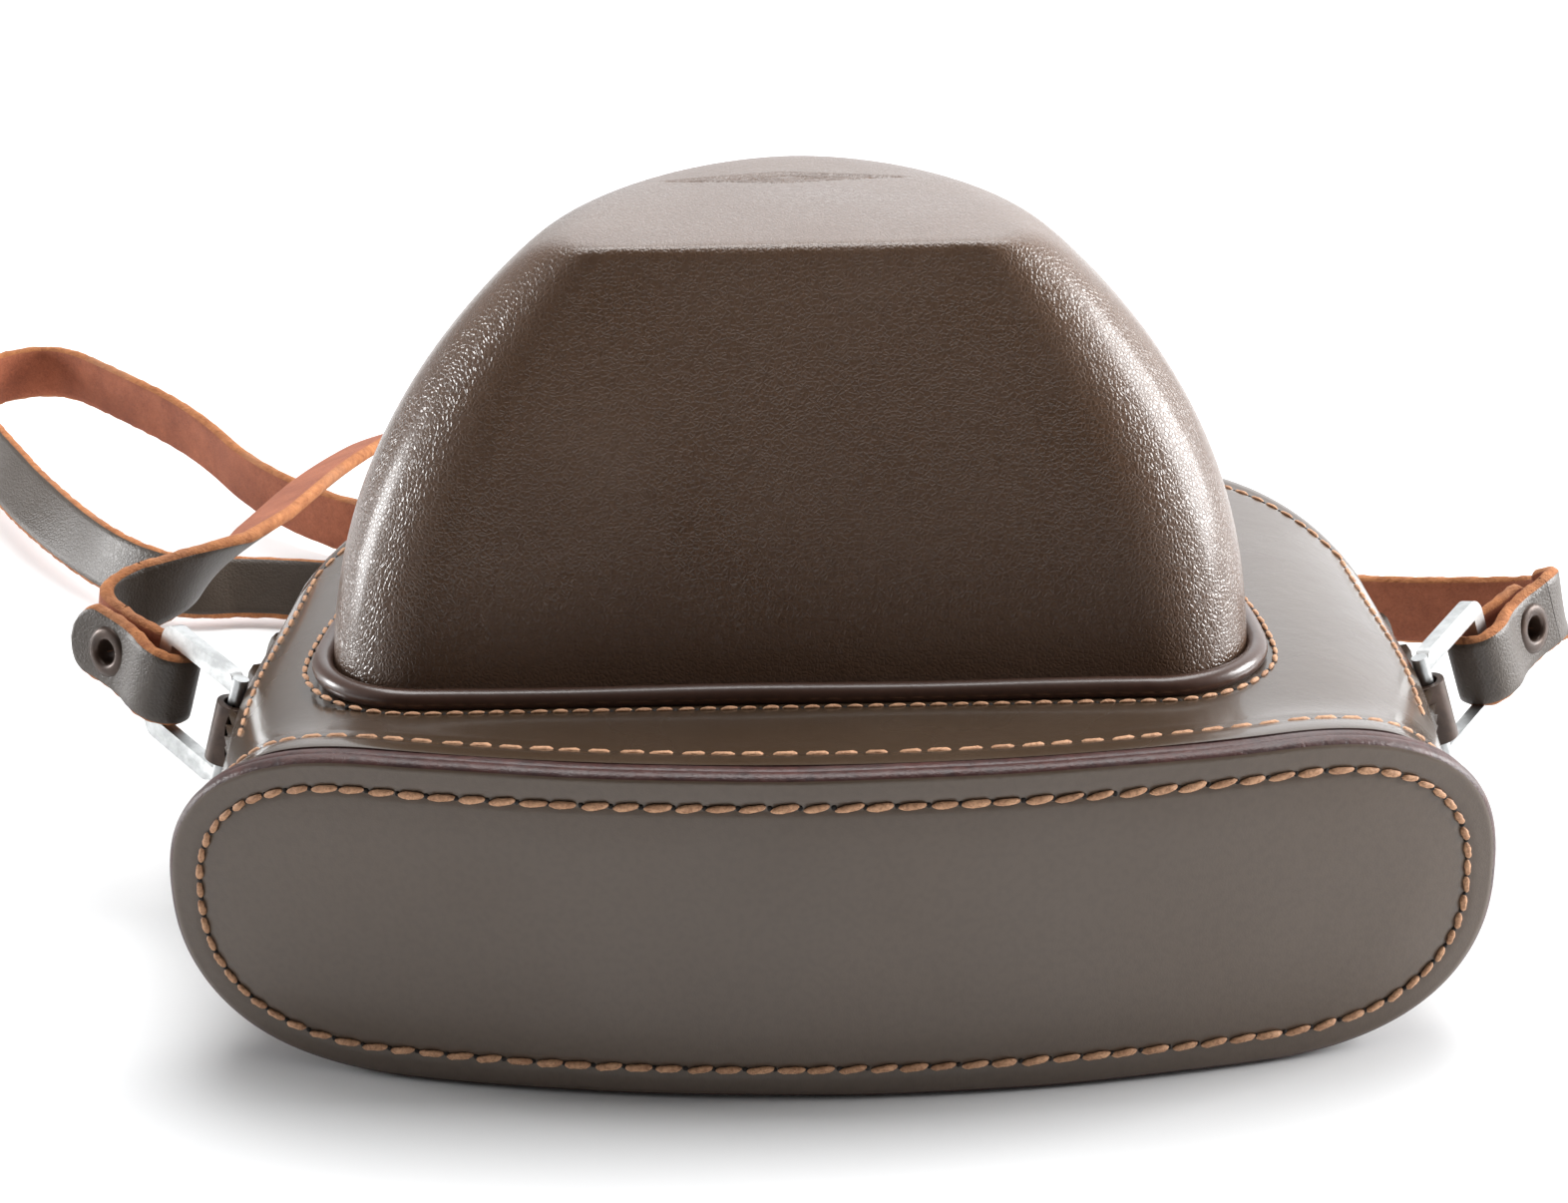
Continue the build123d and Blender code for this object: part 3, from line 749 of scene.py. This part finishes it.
def softened(column, blur):
    """A profile with its corner rounded: a moving average along it, its ends kept."""
    along = np.concatenate([[0], np.cumsum(np.linalg.norm(np.diff(column, axis=0), axis=1))])
    count = 240
    even = np.linspace(0, along[-1], count)
    points = np.column_stack([np.interp(even, along, column[:, k]) for k in range(3)])
    step = along[-1] / (count - 1)
    reach = 30
    offsets = np.arange(-reach, reach + 1)
    kernel = np.exp(-0.5 * (offsets * step / blur) ** 2)
    kernel /= kernel.sum()
    before = 2 * points[0] - points[reach:0:-1]
    after = 2 * points[-1] - points[-2:-reach - 2:-1]
    longer = np.vstack([before, points, after])
    return np.column_stack([np.convolve(longer[:, k], kernel, "valid") for k in range(3)])


def ring_at(level, grow=0, count=NOSE_SIDES, height=None):
    """Points of the nose's outline at a level, or of that outline drawn at another height."""
    x, y = nose_ring(level, grow, count)
    return np.column_stack([x, y, np.full(count, level if height is None else height)])


def nose_surface():
    """The outer face: rings up to the front's rim, then rings closing in to its middle."""
    outlines = [ring_at(level) for level in np.linspace(WALL_HIGH, NOSE_TOP, 90)]
    foot = ring_at(WALL_HIGH, height=NOSE_FOOT)
    top = outlines[-1]
    centre = np.array([NOSE_X + 1.2, 9.0, NOSE_TOP])
    inner = [centre + (top - centre) * share for share in np.linspace(1, 0.02, 40)[1:]]
    columns = np.stack([foot, *outlines, *inner], axis=1)

    # the near rim is crisp and the rest rounder
    ahead = np.roll(top, -1, axis=0) - np.roll(top, 1, axis=0)
    outward_y = -ahead[:, 0] / np.linalg.norm(ahead, axis=1)
    blur = 0.9 + 2.3 * smooth_step(-0.95, 0.1, outward_y)
    blur = np.convolve(np.concatenate([blur[-8:], blur, blur[:8]]), np.ones(17) / 17, "valid")
    rings = np.stack([softened(columns[j], blur[j]) for j in range(NOSE_SIDES)], axis=1)

    radius = np.linalg.norm(top[:, :2] - centre[:2], axis=1)
    reach = np.linalg.norm(rings[:, :, :2] - centre[:2], axis=2) / radius
    on_top = smooth_step(NOSE_TOP - 1.5, NOSE_TOP - 0.3, rings[:, :, 2])
    dome = 0.5 * np.clip(1 - reach**2, 0, 1) - ornament(rings[:, :, 0], rings[:, :, 1])
    rings[:, :, 2] += on_top * dome
    return rings


def make_nose():
    rings = nose_surface()
    points = np.vstack([rings.reshape(-1, 3), rings[-1].mean(axis=0)[None]])
    faces = grid_faces(len(rings), NOSE_SIDES, wrap_columns=True)
    tip = len(points) - 1
    start = tip - NOSE_SIDES
    faces += [(start + j, start + (j + 1) % NOSE_SIDES, tip) for j in range(NOSE_SIDES)]
    height = (points[:, 2] - WALL_HIGH) / (NOSE_TOP - WALL_HIGH)
    fullness = np.clip(height * (1.1 - height) * 3, 0, 1)
    points[:, 1] -= 0.35 * np.sin(points[:, 0] / 17 + 1.3) * np.sin(points[:, 2] / 13) * fullness
    obj = add_object("nose_leather", points, faces, [NOSE_HIDE])
    face_out(obj, (NOSE_X, 8, 55))
    thicken(obj, LEATHER, 0, 0)
    keep(obj, "cover", "nose_leather", "nose")


def make_nose_lining():
    sides = 160
    rings = [ring_at(level, -LEATHER - 0.4, sides) for level in np.linspace(NOSE_FOOT, NOSE_TOP - 7, 40)]
    top = rings[-1]
    middle = top.mean(axis=0)
    for share in (0.85, 0.6, 0.3, 0.02):
        rings.append(middle + (top - middle) * share + [0, 0, 3.4 * (1 - share**3)])
    faces = grid_faces(len(rings), sides, wrap_columns=True)
    obj = add_object("nose_velvet", np.concatenate(rings), faces, [VELVET])
    face_out(obj, (NOSE_X, 8, 55))
    thicken(obj, 0.5, 0, 0)
    keep(obj, "cover", "lining", "nose_lining")


def make_bead():
    """Piping laid level round the nose's foot."""
    radius, sides = 1.3, 14
    x, y = nose_ring(WALL_HIGH, 1.1, 420)
    wobble = 0.08 * np.sin(np.arange(len(x)) / 9.0)
    path = np.stack([x, y, WALL_HIGH + 0.75 + wobble], axis=-1)
    ahead = np.roll(path, -1, axis=0) - np.roll(path, 1, axis=0)
    ahead /= np.linalg.norm(ahead, axis=1)[:, None]
    up = np.tile([0, 0, 1.0], (len(path), 1))
    across = np.cross(ahead, up)
    across /= np.linalg.norm(across, axis=1)[:, None]
    turns = np.linspace(0, 2 * pi, sides, endpoint=False)[None, :, None]
    points = path[:, None] + radius * (np.cos(turns) * across[:, None] + np.sin(turns) * up[:, None])
    faces = grid_faces(len(path), sides, wrap_columns=True, wrap_rows=True)
    obj = add_object("nose_piping", points.reshape(-1, 3), faces, [BEAD_HIDE])
    recalc_normals(obj)
    keep(obj, "cover", "bead_leather", "nose_bead")


# ---- the strap ----
# The route follows the CAD's, its heights given; tilt turns the band about its own line.

STRAP_ROUTE = [  # x, y, z of the band's middle, tilt in degrees
    (-91, 25, 30.5, 0), (-86, 31, 30.5, 15), (-83, 42, 29.8, 50), (-81, 58, 28.5, 66), (-77, 90, 25.8, 69),
    (-70, 122, 21.5, 70), (-38, 150, 14, 50), (0, 156, 8, 25), (36, 152, 5.6, 5), (58, 134, 5.2, 0),
    (50, 112, 5.2, 0), (14, 106, 5.2, 0), (-30, 108, 5.2, 0), (-72, 111, 5.4, 0),
    (-96, 128, 8, 0), (-112, 154, 10.5, 0), (-130, 172, 12.5, 0), (-145, 188, 13, 0),
    (-159, 180, 12.5, -10), (-152, 156, 10.5, -30), (-142, 138, 9.5, -40), (-134, 124, 9, -40),
    (-122, 107, 8, -30), (-112, 96, 7, -25), (-101, 89.5, 6, -30), (-90, 93, 5.2, -35), (-50, 82, 5.2, 0),
    (-6, 72, 6.5, 100), (38, 67, 11, 180), (62, 57, 14, 180), (80, 48, 16, 180), (92, 41, 18.5, 180),
    (98, 33, 21.5, 180), (95.5, 26, 24.5, 180),
]
STRAP_HALF_WIDTH, STRAP_HALF_THICK, STRAP_END_ROUND = 4.9, 0.95, 3.2


def route_points(name, points):
    """A smooth line: a NURBS spline with the route's points as its control points."""
    curve = bpy.data.curves.new(name, "CURVE")
    curve.dimensions = "3D"
    curve.resolution_u = 16
    spline = curve.splines.new("NURBS")
    spline.points.add(len(points) - 1)
    for point, place in zip(spline.points, points):
        point.co = (place[0] * MM, place[1] * MM, place[2] * MM, 1)
    spline.order_u = 3
    spline.use_endpoint_u = True
    obj = bpy.data.objects.new(name, curve)
    bpy.context.scene.collection.objects.link(obj)
    mesh = bpy.data.meshes.new_from_object(obj)
    line = np.array([tuple(v.co) for v in mesh.vertices]) / MM
    bpy.data.meshes.remove(mesh)
    bpy.data.objects.remove(obj)
    bpy.data.curves.remove(curve)
    return line


def band(name, line, tilts, up_hint=(0, 0, 1), round_start=False, round_end=False, caps=(False, False)):
    """A flat strap along a line: grain on one side, flesh on the other, fuzzy cut edges."""
    line = np.asarray(line, float)
    ahead = np.gradient(line, axis=0)
    ahead /= np.linalg.norm(ahead, axis=1)[:, None]
    hint = np.broadcast_to(np.asarray(up_hint, float), line.shape)
    width = hint - ahead * (hint * ahead).sum(axis=1)[:, None]
    width /= np.linalg.norm(width, axis=1)[:, None]
    side = np.cross(ahead, width)
    angle = np.radians(np.asarray(tilts, float))[:, None]
    width, side = turned(width, side, angle)
    along = np.concatenate([[0], np.cumsum(np.linalg.norm(np.diff(line, axis=0), axis=1))])
    shrink = np.ones(len(line))
    for wanted, distance in ((round_start, along), (round_end, along[-1] - along)):
        if wanted:
            from_tip = 1 - np.clip(distance / STRAP_END_ROUND, 0, 1)
            shrink = np.minimum(shrink, np.sqrt(np.clip(1 - from_tip**2, 0.05, 1)))
    w, t, r = STRAP_HALF_WIDTH, STRAP_HALF_THICK, 0.55
    flat = [-w + 1.4, -w * 0.5, 0, w * 0.5, w - 1.4]
    edge = [(w - r, t * 0.96), (w - 0.12, t * 0.5), (w, 0), (w - 0.12, -t * 0.5), (w - r, -t * 0.96)]
    half = [(u, t) for u in flat] + edge
    section = half + [(-u, -v) for u, v in half]
    kinds = [0] * 5 + [2] * 4 + [1] * 6 + [2] * 4 + [0]
    rings = []
    for i, (u, v) in enumerate(section):
        ragged = 0.12 * np.sin(along * 1.9 + i) * np.sin(along * 0.7 + 2 * i) if abs(u) > w - 0.2 else 0
        rings.append(line + width * ((u + np.sign(u) * ragged) * shrink)[:, None] + side * v)
    points = np.stack(rings, axis=1)
    count = len(section)
    faces = grid_faces(len(line), count, wrap_columns=True)
    indices = kinds * (len(line) - 1)
    if caps[0]:
        faces.append(tuple(range(count)))
        indices.append(2)
    if caps[1]:
        faces.append(tuple((len(line) - 1) * count + i for i in range(count))[::-1])
        indices.append(2)
    obj = add_object(name, points.reshape(-1, 3), faces, [STRAP_GRAIN, STRAP_FLESH, STRAP_EDGE], indices)
    recalc_normals(obj)
    return obj


def tilt_along(route, line):
    """The route's tilts, spread along its smooth line."""
    corners = np.array([p[:3] for p in route], float)
    at_corner = np.concatenate([[0], np.cumsum(np.linalg.norm(np.diff(corners, axis=0), axis=1))])
    at_line = np.concatenate([[0], np.cumsum(np.linalg.norm(np.diff(line, axis=0), axis=1))])
    return np.interp(at_line / at_line[-1], at_corner / at_corner[-1], [p[3] for p in route])


def make_strap():
    line = route_points("strap_line", STRAP_ROUTE)
    strap = band("neck_strap", line, tilt_along(STRAP_ROUTE, line))
    keep(strap, "lower_half", "strap_leather", "strap_left", "strap_floor", "strap_right")
    long = float(np.linalg.norm(np.diff(line, axis=0), axis=1).sum())
    print("strap length", round(long))


# ---- rings, strap ends and eyelets ----
RING_X, RING_Y, RING_Z, RING_TILT = 74.6, -4.0, 24.0, radians(17)
RING_ANGLES = {-1: radians(44), 1: radians(52)}
STRAP_END_ANGLES = {-1: radians(36), 1: radians(44)}
RING_REACH, EYELET_AT = 14.3, 8.5
RIGHT_SLIP = 0.8  # the right fold has slid down its ring
LEAF_OUT = 1.5  # a leaf's middle from the fold's middle plane


def ring_frame(sign):
    """The middle of the ring's outer bar, and the strap end's own directions."""
    out = np.array([sign * cos(RING_TILT), 0, sin(RING_TILT)])
    axis = np.array([-sign * sin(RING_TILT), 0, cos(RING_TILT)])
    along = np.array([0, 1.0, 0])
    reach = out * cos(RING_ANGLES[sign]) + along * sin(RING_ANGLES[sign])
    bar = np.array([sign * RING_X, RING_Y, RING_Z]) + RING_REACH * reach
    leg = out * cos(STRAP_END_ANGLES[sign]) + along * sin(STRAP_END_ANGLES[sign])
    front = np.cross(axis, leg)
    front *= -np.sign(front[1])
    if sign > 0:
        bar = bar - RIGHT_SLIP * axis
    return bar, leg, front, axis


def lathe(name, profile, origin, axis, material, sides=48):
    """A turned piece: profile lists (distance along the axis, radius), closed on itself."""
    axis = Vector(axis).normalized()
    first = axis.orthogonal().normalized()
    second = np.array(axis.cross(first))
    axis, first = np.array(axis), np.array(first)
    points = []
    for at, radius in profile:
        for i in range(sides):
            turn = 2 * pi * i / sides
            around = first * radius * cos(turn) + second * radius * sin(turn)
            points.append(np.array(origin) + axis * at + around)
    obj = add_object(name, points, grid_faces(len(profile), sides, True, True), [material])
    recalc_normals(obj)
    return obj


EYELET_PROFILE = [  # distance along the eyelet, radius
    (2.15, 1.55), (2.5, 1.75), (2.62, 2.2), (2.55, 2.8), (2.3, 3.25), (2.05, 3.3), (1.9, 2.9), (1.9, 2.2),
    (-1.9, 2.2), (-1.9, 2.9), (-2.05, 3.3), (-2.4, 3.2), (-2.6, 2.4), (-2.3, 1.7), (-2.0, 1.55),
]


def make_fold(side, sign, leaves, frame_lines):
    """The strap's end, folded round the ring's bar and punched for its eyelet."""
    bar, leg, front, axis = frame_lines
    near_leaf, far_leaf = leaves
    outline = [
        (near_leaf, 1.5), (near_leaf - 2.5, 1.3), (8.5, 1.15), (4.6, 1.5), (1.2, 2.9), (-2.4, 2.6),
        (-3.6, 0.0), (-2.4, -2.6), (1.2, -2.9), (4.6, -1.5), (8.5, -1.15), (far_leaf, -1.5),
    ]
    line = route_points("fold_line", [bar + leg * a + front * b for a, b in outline])
    tilts = np.full(len(line), 0.0 if sign < 0 else 180.0)
    free = (sign < 0, sign > 0)
    fold = band("strap_fold_" + side, line, tilts, axis, free[0], free[1], free)
    bolt = bar + leg * EYELET_AT
    punch = lathe("punch", [(-6, 0.02), (-6, 2.25), (6, 2.25), (6, 0.02)], bolt, front, STRAP_EDGE)
    cut = fold.modifiers.new("hole", "BOOLEAN")
    cut.operation = "DIFFERENCE"
    cut.object = punch
    apply_modifiers(fold)
    bpy.data.objects.remove(punch)
    keep(fold, "ring_" + side + "_body", "strap_grain", "strap_end_" + side)
    eyelet = lathe("eyelet_" + side + "_turned", EYELET_PROFILE, bolt, front, LACQUER)
    keep(eyelet, "ring_" + side + "_body", "eyelet_lacquer", "eyelet_" + side)


def make_turn(side, start, leg, axis, joined, inward):
    """The short bend from a fold to the strap, its width turning from the ring's axis to upright."""
    ahead = (joined - inward) / np.linalg.norm(joined - inward)
    line = route_points("turn_line", [start, start + leg * 3.5, joined + ahead * 5, joined])
    share = np.linspace(0, 1, len(line))[:, None]
    upright = axis * (1 - share) + np.array([0, 0, 1.0]) * share
    turn = band("strap_turn_" + side, line, np.zeros(len(line)), upright)
    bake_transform(turn)


def make_strap_ends():
    """The left strap leaves from its fold's far leaf, and the right one from its near leaf."""
    route = np.array([point[:3] for point in STRAP_ROUTE], float)
    for side, sign, leaves, reach, joined, inward in (
        ("left", -1, (15.0, 10.5), 10.5, route[0], route[1]),
        ("right", 1, (13.0, 13.5), 13.0, route[-1], route[-2]),
    ):
        bar, leg, front, axis = ring_frame(sign)
        make_fold(side, sign, leaves, (bar, leg, front, axis))
        start = bar + leg * reach + sign * front * LEAF_OUT
        make_turn(side, start, leg, axis, joined, inward)


# ---- the lower half and the small parts ----


def make_lower_half():
    soft_copy("lower_shell", "lower_shell_leather", [BOX_CALF], "lower_half", 0.7, 6, "case_leather")
    cad_copy("base_board", "base_board_edge", BURNT_EDGE, "lower_half", 0.5, "edge_leather")
    cad_copy("base_cover", "base_leather", BOX_CALF, "lower_half", 0.6, "case_leather")
    cad_copy("tab_anchor", "tab_anchor_leather", BOX_CALF, "lower_half", 0.35, "case_leather")
    cad_copy("closing_tab", "closing_tab_leather", BOX_CALF, "tab", 0.4, "case_leather")
    for side in ("left", "right"):
        ring, clip, rivets = "ring_" + side, "lug_clip_" + side, "clip_rivets_" + side
        cad_copy(ring, ring + "_plated", RING_METAL, ring + "_body", 0.4, "ring_metal")
        cad_copy(clip, clip + "_sheet", LACQUER, "lower_half", 0.25, "clip_metal")
        cad_copy(rivets, rivets + "_domed", LACQUER, "lower_half", 0.35, "clip_metal")
    cad_copy("tab_rivet", "tab_rivet_domed", LACQUER, "lower_half", 0.4, "snap_metal")
    cad_copy("snap_cap", "snap_cap_lacquered", LACQUER, "tab", 0.2, "snap_metal")
    cad_copy("snap_stud", "snap_stud_lacquered", NICKEL, "cover", 0.2, "snap_metal")
    cad_copy("retaining_screw", "retaining_screw_plated", NICKEL, "screw", 0.25, "screw_metal")
    cad_copy("screw_clip", "screw_clip_plated", NICKEL, "screw", 0.15, "screw_metal")
    cad_copy("ferrule", "ferrule_brass", BRASS, "lower_half", 0.2, "brass_fitting")
    for node in ("panel_lining", "shell_lining"):
        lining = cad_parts[node]
        lining.data.materials.clear()
        lining.data.materials.append(VELVET)


def make_hinge():
    """The leather hinge strip: an L over the base's front edge."""
    profile = [  # y from the base's face, z from the front wall's face
        (-3.4, 0.75), (-2, 0.8), (-0.6, 0.75), (0.25, 0.45),
        (0.6, -0.3), (0.65, -2), (0.65, -3.8), (0.65, -5.6),
    ]
    x = np.linspace(-44, 44, 90)
    points = np.array([(u, BASE_Y + y, WALL_HIGH + z) for y, z in profile for u in x])
    obj = add_object("hinge_leather", points, grid_faces(len(profile), len(x)), [BOX_CALF, BURNT_EDGE])
    face_out(obj, (0, 40, 28))
    thicken(obj, 1.1, 1, 0.25)
    apply_modifiers(obj)
    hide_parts("hinge_strip")
    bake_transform(obj)


# ---- floor and light ----


def make_world():
    """A white studio, darker in front where the photographer stands."""
    world = bpy.data.worlds.new("studio")
    world.use_nodes = True
    tree = world.node_tree
    background = tree.nodes["Background"]
    place = tree.nodes.new("ShaderNodeTexCoord")
    near = tree.nodes.new("ShaderNodeVectorMath")
    near.operation = "DOT_PRODUCT"
    near.inputs[1].default_value = (0.0, -0.94, 0.34)
    tree.links.new(place.outputs["Generated"], near.inputs[0])
    dark = spread(tree, near.outputs["Value"], 0.45, 0.85, 0.0, 1.0)
    color = blend_colors(tree, "MIX", dark, (0.5, 0.505, 0.51), (0.035, 0.033, 0.03))
    far = tree.nodes.new("ShaderNodeVectorMath")
    far.operation = "DOT_PRODUCT"
    far.inputs[1].default_value = (0.38, 0.84, 0.38)
    tree.links.new(place.outputs["Generated"], far.inputs[0])
    bright = spread(tree, far.outputs["Value"], 0.58, 0.93, 0.0, 1.0)
    color = blend_colors(tree, "MIX", bright, color, (2.1, 2.12, 2.15))
    tree.links.new(color, background.inputs["Color"])
    background.inputs["Strength"].default_value = 0.8
    bpy.context.scene.world = world


def make_stage():
    bpy.ops.mesh.primitive_plane_add(size=6, location=(0, 0, -0.0002))
    floor = bpy.context.object
    floor.name = "floor"
    floor.data.materials.append(plain_floor())
    make_world()
    lights = [  # name, place, target, width, height, watts
        ("overhead", (0.0, 0.3, 0.95), (0, 0.0, 0.03), 0.9, 0.6, 11.0),
        ("left_bank", (-0.9, 0.2, 0.16), (0, 0, 0.05), 0.2, 0.24, 4.5),
        ("right_bank", (0.85, 0.12, 0.3), (0, 0, 0.05), 0.42, 0.4, 12.0),
    ]
    for name, place, target, width, height, watts in lights:
        data = bpy.data.lights.new(name, "AREA")
        data.shape = "RECTANGLE"
        data.size, data.size_y = width, height
        data.energy = watts
        light = bpy.data.objects.new(name, data)
        light.location = place
        light.rotation_euler = (Vector(target) - Vector(place)).to_track_quat("-Z", "Y").to_euler()
        bpy.context.scene.collection.objects.link(light)
    bpy.context.scene.view_settings.view_transform = "Standard"


make_strap()
make_strap_ends()
make_cover()
make_panel()
make_nose()
make_nose_lining()
make_bead()
make_stitches()
make_lower_half()
make_hinge()
make_stage()
